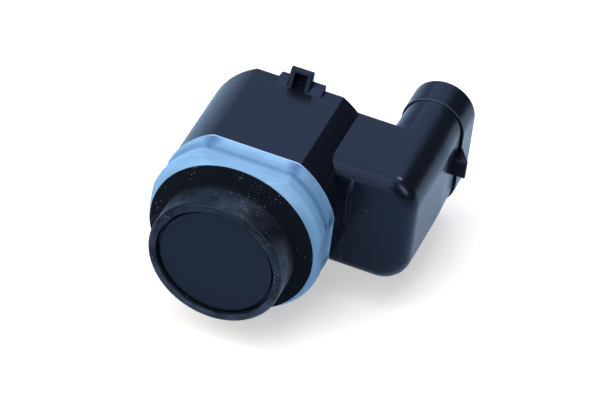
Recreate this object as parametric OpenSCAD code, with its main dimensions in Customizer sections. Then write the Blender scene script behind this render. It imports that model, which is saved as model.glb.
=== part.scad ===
// Ultrasonic parking sensor: a sensing head on a moulded housing with a cranked plug socket.
// The sensor axis is Y and the head looks towards -Y. The origin is on that axis at the root of the
// neck, where the flange meets the back of the bumper skin: the seat plane. The plug socket opens
// towards +Y.

/* [Head] */
// Diameter of the neck that passes through the bumper
head_d = 20.5; // [19.6:0.1:21.5]
// How far the head stands out of the seat plane
head_len = 5.3; // [4:0.1:8]
// Rounding of the rim at the front of the neck
rim_r = 0.5; // [0.2:0.1:0.6]
// Wall of the neck round the membrane pot
neck_wall = 1.65; // [1.4:0.05:2]
// Width of the open groove between the membrane and the rim
face_gap = 0.4; // [0.2:0.05:0.5]
// Depth of that groove
face_gap_depth = 0.7; // [0.4:0.1:1.5]
// Thickness of the vibrating membrane
membrane_t = 0.8; // [0.6:0.05:1.2]
// Wall of the pot
pot_wall = 1.1; // [0.8:0.1:1.4]
// Length of the pot behind the seat plane
pot_back = 6.2; // [5:0.1:7]
// Width across the narrow part of the pot, which shapes the beam
beam_slot = 10; // [9:0.1:11]
// Depth of that narrow part, from the membrane
beam_slot_depth = 3.4; // [2.5:0.1:4]
// Height of the bead round the rear of the pot
pot_bead = 0.6; // [0.3:0.05:0.8]
// Length of the bead
pot_bead_len = 1.2; // [0.8:0.1:2]
// Diameter of the piezo ceramic
piezo_d = 8.6; // [7:0.1:9]
// Thickness of the piezo ceramic
piezo_t = 0.8; // [0.5:0.1:1.2]
// Thickness of the foam plug
foam_t = 3; // [2:0.1:4]

/* [Seals] */
// Diameter of the flange of the decoupling ring
flange_d = 25; // [24:0.1:26]
// Thickness of the flange at the neck
flange_t = 1.25; // [1:0.05:2]
// Thickness of the flange at its edge
flange_edge = 0.35; // [0.2:0.05:0.8]
// Wall of the sleeve of the decoupling ring inside the housing
sleeve_wall = 1.25; // [1:0.05:1.5]
// How far the collar stands out of the housing at the rounded corners
collar_corner_step = 0.2; // [0.1:0.05:0.6]
// How far it stands out at the side flats
collar_side_step = 0.25; // [0.1:0.05:0.6]
// How far it stands out at the top and bottom flats
collar_flat_step = 0.3; // [0.1:0.05:0.6]
// Length of the collar along the sensor axis
collar_len = 6.65; // [5.5:0.05:7.5]
// Length of the bevel at the front of the collar
collar_bevel = 1.4; // [0.8:0.1:2]
// Radius of the groove between the two lips of the collar
collar_groove_r = 1.1; // [0.8:0.1:1.6]
// Depth of that groove
collar_groove_depth = 0.4; // [0.2:0.05:0.5]
// Length of the rear lip of the collar
collar_lip = 1.45; // [1:0.05:2]
// Rounding at the rear of the collar
collar_rear_r = 0.5; // [0.3:0.05:0.7]

/* [Housing] */
// Diameter of the housing at its rounded corners
body_d = 26.6; // [26:0.1:26.8]
// Width of the housing across its side flats
body_w = 25.4; // [25:0.1:25.6]
// Wall of the housing round the sleeve, under the top and bottom flats of the collar
front_wall = 1.05; // [0.8:0.05:1.6]
// Distance from the seat plane to the rear of the housing
body_back = 25; // [24:0.1:30]
// Depth of the seat that the collar sits in
collar_seat = 0.55; // [0.3:0.05:0.7]
// Extra depth of that seat at the rounded corners
corner_seat = 0.5; // [0.3:0.05:0.7]
// Wall of the housing round the electronics
wall = 1.6; // [1.4:0.1:1.8]
// Width of the ledge that carries the circuit board
board_ledge = 0.9; // [0.6:0.1:1.2]
// Thickness of the rear cover
cover_t = 1.6; // [1.2:0.1:2]
// Width of the ledge that carries the rear cover
cover_ledge = 0.8; // [0.5:0.1:1]
// Depth of the sunk field on the rear cover
cover_sink = 0.4; // [0.2:0.1:0.6]
// Width of the raised border of the rear cover
cover_border = 1.8; // [1:0.1:3]

/* [Plug socket] */
// Distance from the sensor axis to the middle of the socket
plug_x = 18.4; // [18:0.1:22]
// Width of the oblong socket
plug_w = 9.5; // [9:0.1:10.4]
// Height of the oblong socket
plug_h = 18.8; // [18:0.1:19.6]
// Wall of the socket
plug_wall = 1.2; // [1:0.1:1.5]
// Distance from the seat plane to the mouth of the socket
plug_mouth = 37.8; // [36:0.1:44]
// Thickness of the floor of the socket behind the elbow
plug_floor = 1; // [0.6:0.1:2]
// Length of the thicker band at the mouth
mouth_band_len = 4.9; // [3:0.1:6]
// Height of the thicker band
mouth_band_step = 0.12; // [0.05:0.01:0.3]
// Narrowing of the socket on each side, in front of the band
waist_inset = 0.26; // [0.1:0.02:0.4]
// Distance from the seat plane to the front of the elbow
elbow_front = 12.4; // [11.5:0.1:14]
// Rounding round the front of the elbow
elbow_r = 2.4; // [1.5:0.1:3.5]
// Rounding where the socket leaves the elbow
flare_r = 1.6; // [0.8:0.1:2]
// Height of the latch nub above the socket wall
nub_rise = 1.9; // [1:0.1:2.2]
// Width of the latch nub
nub_w = 3; // [2:0.1:4]
// Length of the latch nub
nub_len = 3.2; // [2.4:0.1:4]
// Distance from the mouth to the locking face of the nub
nub_from_mouth = 7.4; // [6.5:0.1:9]
// Height of the middle of the nub above the middle of the socket
nub_z = 0.6; // [-2:0.1:2]

/* [Latch catches] */
// Sideways offset of the catches from the sensor axis
catch_x = 0.25; // [-1:0.05:1]
// Width of the pad under a catch
pad_w = 7.4; // [6:0.1:9]
// Height of the pad at the rear
pad_rise = 0.95; // [0.6:0.05:1.4]
// Length of the pad along the housing
pad_len = 2.2; // [1.6:0.1:3]
// Length of the level land behind the pad's ramp
pad_land = 0.3; // [0.1:0.1:0.8]
// Run of the slanted left end of the pad
pad_slant = 0.55; // [0.1:0.05:1]
// Width of a catch
catch_w = 3.5; // [2.6:0.1:4]
// Height of a catch above the flat
catch_rise = 2.65; // [2.2:0.05:3.6]
// Length of a catch at its foot
catch_len = 2.1; // [1.8:0.1:3]
// Thickness of the posts beside its pocket
catch_post = 0.75; // [0.5:0.05:0.9]
// Thickness of the bar over its pocket
catch_top = 0.4; // [0.3:0.05:0.8]
// Thickness of the wall behind its pocket
catch_wall = 0.3; // [0.2:0.05:0.5]

/* [Electronics] */
// Thickness of the circuit board
board_t = 1.6; // [1:0.1:2]
// Room between the board and the rear cover
rear_room = 8.4; // [7.5:0.1:9]
// Width of the stamped terminals
pin_w = 0.8; // [0.6:0.05:1]
// Distance between neighbouring terminals
pin_pitch = 4; // [3:0.1:4.5]
// Distance from the mouth to the tips of the terminals
pin_recess = 5; // [4.6:0.1:7]
// Diameter of the insulated leads
lead_d = 0.9; // [0.6:0.05:1.2]
// Distance of each lead from the sensor axis
lead_x = 1.8; // [1.5:0.1:2.2]
// Width of the transformer core
core_w = 8.4; // [7.6:0.1:9]
// Height of the transformer core
core_h = 7.6; // [7:0.1:8.4]
// Thickness of the transformer core
core_t = 3.6; // [3:0.1:4]
// Width of the legs of the core
core_leg = 1.4; // [1.2:0.1:1.6]
// Wall of the bobbin
bobbin_wall = 0.5; // [0.4:0.05:0.6]
// Length of the body of the chip
chip_len = 6.2; // [5:0.1:7]
// Width of the body of the chip
chip_w = 3.9; // [3:0.1:4.4]
// Thickness of the body of the chip
chip_t = 1.5; // [1:0.1:1.8]
// Diameter of the storage capacitor
cap_d = 5; // [4:0.1:6]
// Height of the storage capacitor
cap_len = 5.4; // [4:0.1:6]

/* [Hidden] */
$fn = 96;
facets = 40;

// Room between pieces that slide together
slip = 0.05;
// Overlap of a cut past the face that it opens
cut = 1;
// Thickness of the slices that a rounded block is drawn over
slice = 0.01;

// Seals and housing front: the ring is built round the pot, and the housing round the ring
pot_d = head_d - 2 * neck_wall;
sleeve_d = pot_d + 2 * sleeve_wall;
spigot_h = sleeve_d + 2 * front_wall;
body_h = spigot_h + 2 * collar_seat;
spigot_d = body_d - 2 * (collar_seat + corner_seat);
spigot_w = body_w - 2 * collar_seat;
collar_d = body_d + 2 * collar_corner_step;
collar_w = body_w + 2 * collar_side_step;
collar_h = body_h + 2 * collar_flat_step;
collar_back = flange_t + collar_len;
sleeve_reach = 0.3;
sleeve_back = collar_back + sleeve_reach;
collar_groove_y = collar_back - collar_lip - collar_groove_half();

// Membrane pot
pot_bead_back = 0.6;
pot_inner_d = pot_d - 2 * pot_wall;
membrane_y = membrane_t - head_len;
beam_slot_y = membrane_y + beam_slot_depth;
piezo_y = membrane_y + piezo_t;
foam_back = beam_slot_y + foam_t;
foam_hole_d = lead_d + 2 * slip;

// Housing inside
cover_y = body_back - cover_t;
board_back = cover_y - rear_room;
board_y = board_back - board_t;
board_slip = 0.2;
rear_r = body_d / 2 - wall;
front_h = body_h - 2 * (wall + board_ledge);

// Plug socket
elbow_sink = 0.4;
elbow_x = sqrt(pow(body_d / 2, 2) - pow(plug_h / 2, 2)) - elbow_sink;
plug_arc_z = (plug_h - plug_w) / 2;
plug_wall_x = plug_x + plug_w / 2;
plug_bottom = body_back + plug_floor;
band_y = plug_mouth - mouth_band_len;
nub_y = plug_mouth - nub_from_mouth;
nub_tip = 0.5;

// Terminals: one stamping cranked from the socket to the board
pin_t = 0.64;
pin_inset = 4;
pin_x = body_w / 2 - wall - pin_inset;
pin_rise = 4.2;
pin_crank_y = body_back - pin_rise;
pin_tail = 0.8;
pin_tip = plug_mouth - pin_recess;
pin_tip_bevel = 0.8;
pin_hole_d = 1.3;
solder_h = 0.5;
solder_ring = 0.35;
solder_d = pin_hole_d + 2 * solder_ring;
lead_hole_d = lead_d + 2 * slip;
lead_solder_d = lead_hole_d + 2 * solder_ring;
lead_sides = 12;
lead_steps = 8;
lead_bend_y = foam_back + lead_d;
lead_end_bend_y = board_y - 2 * lead_d;

// Transformer on the rear of the board
core_z = 3.2;
core_room = 1;
core_x = core_w / 2 + core_room - sqrt(pow(rear_r, 2) - pow(core_z + core_h / 2, 2));
core_gap = 0.2;
winding_room = 0.3;
winding_d = core_w - 2 * (core_leg + winding_room);
bobbin_bore = core_leg + 2 * slip;
bobbin_d = bobbin_bore + 2 * bobbin_wall;
bobbin_len = core_h - 2 * core_leg - 2 * slip;
bobbin_foot = 0.8;
core_y = board_back + bobbin_foot + winding_d / 2;

// Other components on the board
chip_x = 0.4;
chip_room = 0.75;
chip_legs = 7;
chip_leg_pitch = 0.8;
chip_leg_w = 0.34;
chip_leg_t = 0.2;
chip_leg_reach = 1.05;
chip_standoff = 0.15;
chip_z = (front_h - chip_w) / 2 - chip_leg_reach - chip_room;
cap_z = -5;
cap_room = 0.6;
cap_base = 0.6;
cap_base_edge = 0.15;
cap_half = cap_d / 2 + cap_base_edge;
cap_x = cap_half + cap_room - sqrt(pow(rear_r, 2) - pow(cap_half - cap_z, 2));
lead_room = 0.2;
lead_z = cap_z + cap_half + lead_solder_d / 2 + lead_room;
passive_len = 1.6;
passive_w = 0.8;
passive_t = 0.7;
passive_end = 0.35;
passive_x = -5.2;
pin_side_gap = 1.9;
pin_side_x = pin_x - pin_side_gap;
capacitor_places = [[passive_x, 3], [passive_x, 1.2], [passive_x, -1.6], [pin_side_x, 1.4],
    [pin_side_x, -1.6]];
resistor_places = [[passive_x, 4.8], [passive_x, -3.4], [pin_side_x, -4.4], [pin_side_x, -6]];
diode_x = -1;
diode_z = -6.2;
diode_scale = 1.8;

plastic = [0.13, 0.15, 0.2];
blue = [0.55, 0.74, 0.93];
rubber = [0.07, 0.07, 0.08];
painted = [0.15, 0.17, 0.23];
ceramic = [0.85, 0.82, 0.75];
foam = [0.75, 0.75, 0.72];
red = [0.75, 0.12, 0.1];
black = [0.08, 0.08, 0.09];
board_green = [0.1, 0.35, 0.2];
ferrite = [0.22, 0.22, 0.23];
cream = [0.86, 0.82, 0.7];
copper = [0.72, 0.42, 0.2];
silver = [0.8, 0.8, 0.82];
tan = [0.72, 0.6, 0.42];

// Half the width of the collar groove at the surface of the collar
function collar_groove_half() =
    sqrt(pow(collar_groove_r, 2) - pow(collar_groove_r - collar_groove_depth, 2));

// Prism along the sensor axis; its section is drawn in X and Z
module along_axis(from, to) {
    translate([0, to, 0])
        rotate([90, 0, 0])
            linear_extrude(to - from)
                children();
}

// Prism along X; its section is drawn in Y and Z and it is centred on x = 0
module across(width) {
    rotate([90, 0, 90])
        linear_extrude(width, center = true)
            children();
}

// Solid of revolution about the sensor axis, drawn as [radius, distance behind the seat plane]
module turned() {
    rotate([90, 0, 0])
        rotate_extrude()
            mirror([0, 1])
                children();
}

// Ring section between two radii and two distances behind the seat plane
module band(inner_d, outer_d, from, to) {
    translate([inner_d / 2, from])
        square([(outer_d - inner_d) / 2, to - from]);
}

// Round section with side flats and with top and bottom flats
module flatted(d, w, h) {
    intersection() {
        circle(d = d);
        square([w, h], center = true);
    }
}

// Oblong of two half circles, inset all round and narrowed on its two long sides
module oblong(inset = 0, narrow = 0) {
    arc_z = plug_arc_z + narrow;
    width = plug_w - 2 * (inset + narrow);
    for (side = [-1, 1])
        translate([plug_x, side * arc_z])
            circle(d = width);
    translate([plug_x, 0])
        square([width, 2 * arc_z], center = true);
}

// Copies on the top and on the bottom of the housing
module top_and_bottom() {
    children();
    mirror([0, 0, 1])
        children();
}

// Outline of the elbow from the front, inset round its free edges
module elbow_section(inset) {
    for (side = [-1, 1])
        translate([plug_x, side * plug_arc_z])
            circle(d = plug_w - 2 * inset, $fn = facets);
    translate([elbow_x, inset - plug_h / 2])
        square([plug_x - elbow_x, plug_h - 2 * inset]);
    translate([elbow_x, -plug_arc_z])
        square([plug_wall_x - elbow_x - inset, 2 * plug_arc_z]);
}

// Elbow block, rounded all round its front
module elbow() {
    steps = 8;
    hull() {
        for (step = [0 : steps]) {
            turn = 90 * step / steps;
            front = elbow_front + elbow_r * (1 - cos(turn));
            along_axis(front, front + slice)
                elbow_section(elbow_r * (1 - sin(turn)));
        }
        along_axis(body_back - slice, body_back)
            elbow_section(0);
    }
}

// Hollow fillet between the rear of the elbow and the near side of the socket
module flare() {
    reach = plug_w / 2 + flare_r;
    intersection() {
        union() {
            for (side = [0, 1])
                translate([plug_x, body_back, 0])
                    mirror([0, 0, side])
                        translate([0, 0, plug_arc_z])
                            rotate([-90, 0, 0])
                                rotate([0, 0, 180])
                                    rotate_extrude(angle = 90)
                                        flare_section();
            translate([plug_x, body_back, 0])
                linear_extrude(2 * plug_arc_z, center = true)
                    mirror([1, 0])
                        flare_section();
        }
        translate([plug_x - reach, body_back, -plug_h / 2])
            cube([reach, flare_r, plug_h]);
    }
}

// Section of the hollow fillet, from the middle of the socket outwards
module flare_section() {
    translate([plug_w / 2 - cut, 0])
        difference() {
            square([flare_r + cut, flare_r]);
            translate([flare_r + cut, flare_r])
                circle(r = flare_r);
        }
}

// Socket outside: flared root, waist narrowed on its long sides and thicker band at the mouth
module socket_outside() {
    root_y = body_back + flare_r;
    along_axis(body_back - cut, root_y)
        oblong();
    hull() {
        along_axis(root_y - slice, root_y)
            oblong($fn = facets);
        along_axis(nub_y - slice, nub_y)
            oblong(narrow = waist_inset, $fn = facets);
    }
    along_axis(nub_y - slice, band_y + cut)
        oblong(narrow = waist_inset);
    along_axis(band_y, plug_mouth)
        oblong(-mouth_band_step);
    flare();
}

// Latch nub: a locking face towards the head, and a ramp down to the mouth
module latch_nub() {
    translate([plug_wall_x - plug_wall / 2, nub_y, nub_z - nub_w / 2])
        linear_extrude(nub_w)
            polygon([
                [0, 0],
                [plug_wall / 2 + nub_rise, 0],
                [plug_wall / 2 + nub_rise, nub_tip],
                [plug_wall / 2 + mouth_band_step, nub_len],
                [0, nub_len]
            ]);
}

// Pad under a catch: a low ramp with a level land at the rear and a slanted left end
module catch_pad(root, flat) {
    intersection() {
        across(pad_w)
            polygon([
                [body_back - pad_len, root],
                [body_back - pad_len, flat],
                [body_back - pad_land, flat + pad_rise],
                [body_back, flat + pad_rise],
                [body_back, root]
            ]);
        along_axis(body_back - pad_len, body_back)
            polygon([
                [-pad_w / 2, root],
                [-pad_w / 2, flat],
                [pad_slant - pad_w / 2, flat + pad_rise],
                [pad_w / 2, flat + pad_rise],
                [pad_w / 2, root]
            ]);
    }
}

// Latch catch on its pad: a leaning frame round a pocket for the bracket's hook
module latch_catch() {
    root = body_h / 2 - wall / 2;
    flat = body_h / 2;
    translate([catch_x, 0, 0])
        difference() {
            union() {
                catch_pad(root, flat);
                across(catch_w)
                    polygon([
                        [body_back - catch_len, root],
                        [body_back - catch_len, flat],
                        [body_back - catch_post, flat + catch_rise],
                        [body_back, flat + catch_rise],
                        [body_back, root]
                    ]);
            }
            translate([catch_post - catch_w / 2, body_back - catch_len - cut, flat])
                cube([catch_w - 2 * catch_post, catch_len + cut - catch_wall, catch_rise - catch_top]);
        }
}

// Section of the housing, the collar seat or a space inside, drawn in from the housing outline
module body_section(inset) {
    flatted(body_d - 2 * inset, body_w - 2 * inset, body_h - 2 * inset);
}

// Spaces inside the housing, from the front bore to the seat of the rear cover
module housing_spaces() {
    along_axis(flange_t - cut, sleeve_back)
        circle(d = sleeve_d);
    along_axis(sleeve_back, board_y)
        body_section(wall + board_ledge);
    along_axis(board_y, body_back)
        body_section(wall);
    along_axis(cover_y, body_back + cut)
        body_section(wall - cover_ledge);
}

module housing() {
    color(plastic)
        difference() {
            union() {
                along_axis(flange_t, collar_back + cut)
                    flatted(spigot_d, spigot_w, spigot_h);
                along_axis(collar_back, body_back)
                    body_section(0);
                elbow();
                socket_outside();
                latch_nub();
                top_and_bottom()
                    latch_catch();
            }
            housing_spaces();
            along_axis(plug_bottom, plug_mouth + cut)
                oblong(plug_wall);
            for (row = [-1 : 1])
                terminal(row);
        }
}

module rear_cover() {
    edge = wall - cover_ledge + slip;
    color(plastic)
        difference() {
            along_axis(cover_y, body_back)
                body_section(edge);
            along_axis(body_back - cover_sink, body_back + cut)
                body_section(edge + cover_border);
        }
}

// Outline of the collar as it is turned: bevelled at the front, rounded at the rear
module collar_turned() {
    difference() {
        polygon([
            [0, flange_t],
            [flange_d / 2, flange_t],
            [collar_d / 2, flange_t + collar_bevel],
            [collar_d / 2, collar_back],
            [0, collar_back]
        ]);
        translate([collar_d / 2 - collar_rear_r, collar_back - collar_rear_r])
            difference() {
                square(collar_rear_r + cut);
                circle(r = collar_rear_r);
            }
    }
}

// Groove that runs round the collar, over its flats and its corners
module collar_groove() {
    lift = collar_groove_r - collar_groove_depth;
    turned()
        translate([collar_d / 2 + lift, collar_groove_y])
            circle(r = collar_groove_r);
    top_and_bottom()
        translate([0, collar_groove_y, collar_h / 2 + lift])
            rotate([0, 90, 0])
                cylinder(r = collar_groove_r, h = collar_w, center = true);
    for (side = [-1, 1])
        translate([side * (collar_w / 2 + lift), collar_groove_y, 0])
            cylinder(r = collar_groove_r, h = collar_h, center = true);
}

module seal_collar() {
    color(blue)
        difference() {
            intersection() {
                along_axis(flange_t, collar_back)
                    flatted(collar_d, collar_w, collar_h);
                turned()
                    collar_turned();
            }
            along_axis(flange_t - cut, collar_back + cut)
                flatted(spigot_d, spigot_w, spigot_h);
            collar_groove();
        }
}

module decoupling_ring() {
    color(rubber)
        turned()
            difference() {
                union() {
                    band(pot_d, head_d, rim_r - head_len, flange_t);
                    band(pot_d, head_d - 2 * rim_r, -head_len, flange_t);
                    translate([head_d / 2 - rim_r, rim_r - head_len])
                        circle(r = rim_r);
                    polygon([
                        [pot_d / 2, 0],
                        [head_d / 2, 0],
                        [flange_d / 2, flange_t - flange_edge],
                        [flange_d / 2, flange_t],
                        [pot_d / 2, flange_t]
                    ]);
                    band(pot_d, sleeve_d, 0, sleeve_back);
                }
                band(pot_d, pot_d + 2 * face_gap, -head_len - cut, face_gap_depth - head_len);
                band(pot_d - cut, pot_d + 2 * pot_bead, pot_back - pot_bead_back - pot_bead_len,
                    pot_back - pot_bead_back);
            }
}

module membrane_pot() {
    edge_r = 0.2;
    color(painted)
        difference() {
            turned() {
                band(0, pot_d, edge_r - head_len, pot_back);
                band(0, pot_d - 2 * edge_r, -head_len, pot_back);
                translate([pot_d / 2 - edge_r, edge_r - head_len])
                    circle(r = edge_r);
                band(0, pot_d + 2 * pot_bead, pot_back - pot_bead_back - pot_bead_len,
                    pot_back - pot_bead_back);
            }
            along_axis(membrane_y, pot_back + cut)
                intersection() {
                    circle(d = pot_inner_d);
                    square([pot_d, beam_slot], center = true);
                }
            along_axis(beam_slot_y, pot_back + cut)
                circle(d = pot_inner_d);
        }
}

module piezo_disc() {
    color(ceramic)
        along_axis(membrane_y, piezo_y)
            circle(d = piezo_d);
}

module damping_plug() {
    color(foam)
        along_axis(beam_slot_y, foam_back)
            difference() {
                circle(d = pot_inner_d - 2 * slip);
                for (side = [-1, 1])
                    translate([side * lead_x, 0])
                        circle(d = foam_hole_d);
            }
}

// Height of a lead at a distance behind the seat plane: level, then a smooth drop to its hole
function lead_drop(y) =
    let (t = min(1, max(0, (y - lead_bend_y) / (lead_end_bend_y - lead_bend_y))))
    lead_z * t * t * (3 - 2 * t);

// Insulated lead, swept from the ceramic through the foam to the board as rings along its route
module piezo_lead(side) {
    end = board_back + solder_h / 2;
    route = [
        piezo_y,
        for (step = [0 : lead_steps]) lead_bend_y + step * (lead_end_bend_y - lead_bend_y) / lead_steps,
        end
    ];
    rings = len(route);
    points = [
        for (y = route, corner = [0 : lead_sides - 1])
            let (slope = atan2(lead_drop(y + cut / 100) - lead_drop(y - cut / 100), cut / 50))
            let (turn = 360 * corner / lead_sides, radius = lead_d / 2)
            [
                side * lead_x + radius * cos(turn),
                y - radius * sin(turn) * sin(slope),
                lead_drop(y) + radius * sin(turn) * cos(slope)
            ]
    ];
    walls = [
        for (ring = [0 : rings - 2], corner = [0 : lead_sides - 1])
            let (next = (corner + 1) % lead_sides, base = ring * lead_sides)
            [base + corner, base + next, base + lead_sides + next, base + lead_sides + corner]
    ];
    near = [for (corner = [lead_sides - 1 : -1 : 0]) corner];
    far = [for (corner = [0 : lead_sides - 1]) (rings - 1) * lead_sides + corner];
    polyhedron(points, concat(walls, [near, far]));
}

module piezo_lead_live() {
    color(red)
        piezo_lead(1);
}

module piezo_lead_ground() {
    color(black)
        piezo_lead(-1);
}

module circuit_board() {
    color(board_green)
        along_axis(board_y, board_back)
            difference() {
                body_section(wall + board_slip);
                for (row = [-1 : 1])
                    translate([pin_x, row * pin_pitch])
                        circle(d = pin_hole_d);
                for (side = [-1, 1])
                    translate([side * lead_x, lead_z])
                        circle(d = lead_hole_d);
            }
}

// Cranked terminal, stamped from sheet: socket blade, cross arm and board tail
module terminal(row) {
    half = pin_w / 2;
    tail = board_y - pin_tail;
    translate([0, 0, row * pin_pitch])
        linear_extrude(pin_t, center = true) {
            polygon([
                [plug_x - half, pin_crank_y - half],
                [plug_x + half, pin_crank_y - half],
                [plug_x + half, pin_tip - pin_tip_bevel],
                [plug_x + half / 2, pin_tip],
                [plug_x - half / 2, pin_tip],
                [plug_x - half, pin_tip - pin_tip_bevel]
            ]);
            translate([pin_x - half, pin_crank_y - half])
                square([plug_x - pin_x + pin_w, pin_w]);
            translate([pin_x - half, tail])
                square([pin_w, pin_crank_y - tail]);
        }
}

module terminal_supply() {
    color(silver)
        terminal(1);
}

module terminal_signal() {
    color(silver)
        terminal(0);
}

module terminal_ground() {
    color(silver)
        terminal(-1);
}

// Solder fillet on the rear of the board, round a tail of the given section
module solder_fillet(d) {
    translate([0, board_back, 0])
        rotate([-90, 0, 0])
            cylinder(d1 = d, d2 = d - solder_h, h = solder_h);
}

module solder_joints() {
    color(silver)
        difference() {
            union() {
                for (row = [-1 : 1])
                    translate([pin_x, 0, row * pin_pitch])
                        solder_fillet(solder_d);
                for (side = [-1, 1])
                    translate([side * lead_x, 0, lead_z])
                        solder_fillet(lead_solder_d);
            }
            for (row = [-1 : 1])
                terminal(row);
            for (side = [-1, 1])
                translate([side * lead_x, board_back - cut, lead_z])
                    rotate([-90, 0, 0])
                        cylinder(d = lead_d, h = solder_h + 2 * cut);
        }
}

// Places a component on the rear of the board
module on_rear(x, z) {
    translate([x, board_back, z])
        children();
}

// Places a component on the front of the board, turned to face the head
module on_front(x, z) {
    translate([x, board_y, z])
        rotate([0, 0, 180])
            children();
}

module signal_chip() {
    color(black)
        on_front(chip_x, chip_z) {
            translate([-chip_len / 2, chip_standoff, -chip_w / 2])
                cube([chip_len, chip_t, chip_w]);
            for (leg = [0 : chip_legs - 1])
                translate([(leg - (chip_legs - 1) / 2) * chip_leg_pitch, 0, 0])
                    chip_leg_pair(chip_w / 2);
        }
}

// Two bent legs of the chip, one on each side
module chip_leg_pair(root) {
    top_and_bottom()
        across(chip_leg_w)
            polygon([
                [chip_t / 2, root - chip_leg_t],
                [chip_t / 2, root + chip_leg_reach / 2],
                [chip_leg_t, root + chip_leg_reach / 2],
                [chip_leg_t, root + chip_leg_reach],
                [0, root + chip_leg_reach],
                [0, root + chip_leg_reach / 2 - chip_leg_t],
                [chip_t / 2 - chip_leg_t, root + chip_leg_reach / 2 - chip_leg_t],
                [chip_t / 2 - chip_leg_t, root - chip_leg_t]
            ]);
}

// Two-legged frame with a round centre leg, lying along Z
module transformer_core() {
    color(ferrite)
        translate([core_x, core_y, core_z]) {
            difference() {
                cube([core_w, core_t, core_h], center = true);
                cube([core_w - 2 * core_leg, core_t + cut, core_h - 2 * core_leg], center = true);
            }
            cylinder(d = core_leg, h = core_h - core_leg, center = true);
        }
}

module transformer_bobbin() {
    flange = bobbin_wall;
    color(cream)
        translate([core_x, core_y, core_z])
            difference() {
                union() {
                    cylinder(d = bobbin_d, h = bobbin_len, center = true);
                    for (side = [-1, 1])
                        translate([0, 0, side * (bobbin_len - flange) / 2]) {
                            cylinder(d = winding_d, h = flange, center = true);
                            translate([-winding_d / 2, board_back - core_y, -flange / 2])
                                cube([winding_d, core_y - board_back, flange]);
                        }
                }
                cylinder(d = bobbin_bore, h = core_h, center = true);
            }
}

module transformer_winding() {
    color(copper)
        translate([core_x, core_y, core_z])
            difference() {
                cylinder(d = winding_d - core_gap, h = bobbin_len - 2 * bobbin_wall, center = true);
                cylinder(d = bobbin_d, h = core_h, center = true);
            }
}

module storage_capacitor() {
    color(silver)
        on_rear(cap_x, cap_z)
            rotate([-90, 0, 0]) {
                linear_extrude(cap_base)
                    square(2 * cap_half, center = true);
                cylinder(d = cap_d, h = cap_len);
            }
}

// Chip component lying flat, with end caps that stand proud of its body
module passive() {
    proud = 0.05;
    translate([-passive_len / 2 + passive_end / 2, proud, -passive_w / 2 + proud])
        cube([passive_len - passive_end, passive_t - 2 * proud, passive_w - 2 * proud]);
    for (side = [0, 1])
        mirror([side, 0, 0])
            translate([-passive_len / 2, 0, -passive_w / 2])
                cube([passive_end, passive_t, passive_w]);
}

module chip_capacitors() {
    color(tan)
        for (place = capacitor_places)
            on_front(place.x, place.y)
                passive();
}

module chip_resistors() {
    color(black)
        for (place = resistor_places)
            on_front(place.x, place.y)
                passive();
}

module protection_diode() {
    color(black)
        on_front(diode_x, diode_z)
            scale(diode_scale)
                passive();
}

housing();
rear_cover();
seal_collar();
decoupling_ring();
membrane_pot();
piezo_disc();
damping_plug();
piezo_lead_live();
piezo_lead_ground();
circuit_board();
signal_chip();
transformer_core();
transformer_bobbin();
transformer_winding();
storage_capacitor();
chip_capacitors();
chip_resistors();
protection_diode();
terminal_supply();
terminal_signal();
terminal_ground();
solder_joints();
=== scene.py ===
"""Looks of an ultrasonic parking sensor, built in the frame of its packed construction.

Lengths in this file are millimetres until a mesh, a lamp or the camera is made. The sensor axis is Y, the
head looks towards -Y, and the plug socket stands at +X and opens towards +Y.
"""

import logging
import math
from dataclasses import dataclass
from enum import Enum

import bmesh
import bpy
import numpy as np
from mathutils import Matrix, Vector


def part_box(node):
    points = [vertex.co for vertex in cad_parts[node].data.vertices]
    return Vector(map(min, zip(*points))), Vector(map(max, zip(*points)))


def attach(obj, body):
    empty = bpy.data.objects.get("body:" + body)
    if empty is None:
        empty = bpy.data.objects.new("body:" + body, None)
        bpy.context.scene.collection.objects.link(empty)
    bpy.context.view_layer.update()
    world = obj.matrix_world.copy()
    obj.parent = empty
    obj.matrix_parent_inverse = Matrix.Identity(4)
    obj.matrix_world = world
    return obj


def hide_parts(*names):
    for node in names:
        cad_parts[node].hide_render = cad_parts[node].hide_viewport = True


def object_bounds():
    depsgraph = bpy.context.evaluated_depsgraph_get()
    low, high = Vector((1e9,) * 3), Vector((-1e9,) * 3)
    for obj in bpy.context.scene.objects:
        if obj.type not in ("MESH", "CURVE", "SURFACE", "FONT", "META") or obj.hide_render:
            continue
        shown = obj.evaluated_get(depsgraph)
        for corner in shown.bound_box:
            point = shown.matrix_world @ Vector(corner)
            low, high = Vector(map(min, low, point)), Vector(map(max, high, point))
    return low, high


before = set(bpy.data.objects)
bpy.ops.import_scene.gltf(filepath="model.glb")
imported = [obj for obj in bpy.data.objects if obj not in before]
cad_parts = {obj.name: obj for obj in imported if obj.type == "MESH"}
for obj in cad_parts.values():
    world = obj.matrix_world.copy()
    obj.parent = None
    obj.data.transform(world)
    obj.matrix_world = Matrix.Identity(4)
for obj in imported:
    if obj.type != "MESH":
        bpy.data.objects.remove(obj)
CAD_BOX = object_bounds()

LOG = logging.getLogger("parking_sensor")
MM = 0.001
BODY = "root"
ROUND_STEPS = 192
ARC_STEPS = 20
CREASE_STEPS = 5
EDGE_STEPS = 5
BAR_EDGE_STEPS = 3
MERGE_MM = 1e-4
TINY = 1e-9
SHARP_ANGLE = math.radians(32)
LEAST_ROUGHNESS = 0.02

Array = np.ndarray
Piece = bpy.types.Object
Material = bpy.types.Material
Tree = bpy.types.NodeTree
Node = bpy.types.Node
Socket = bpy.types.NodeSocket


class Combine(Enum):
    """How one closed shape joins another."""

    ADD = "UNION"
    CUT = "DIFFERENCE"


class Way(Enum):
    """Which way a rounded bar is drawn out of its outline."""

    ALONG_X = 0
    ALONG_Z = 2


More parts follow.
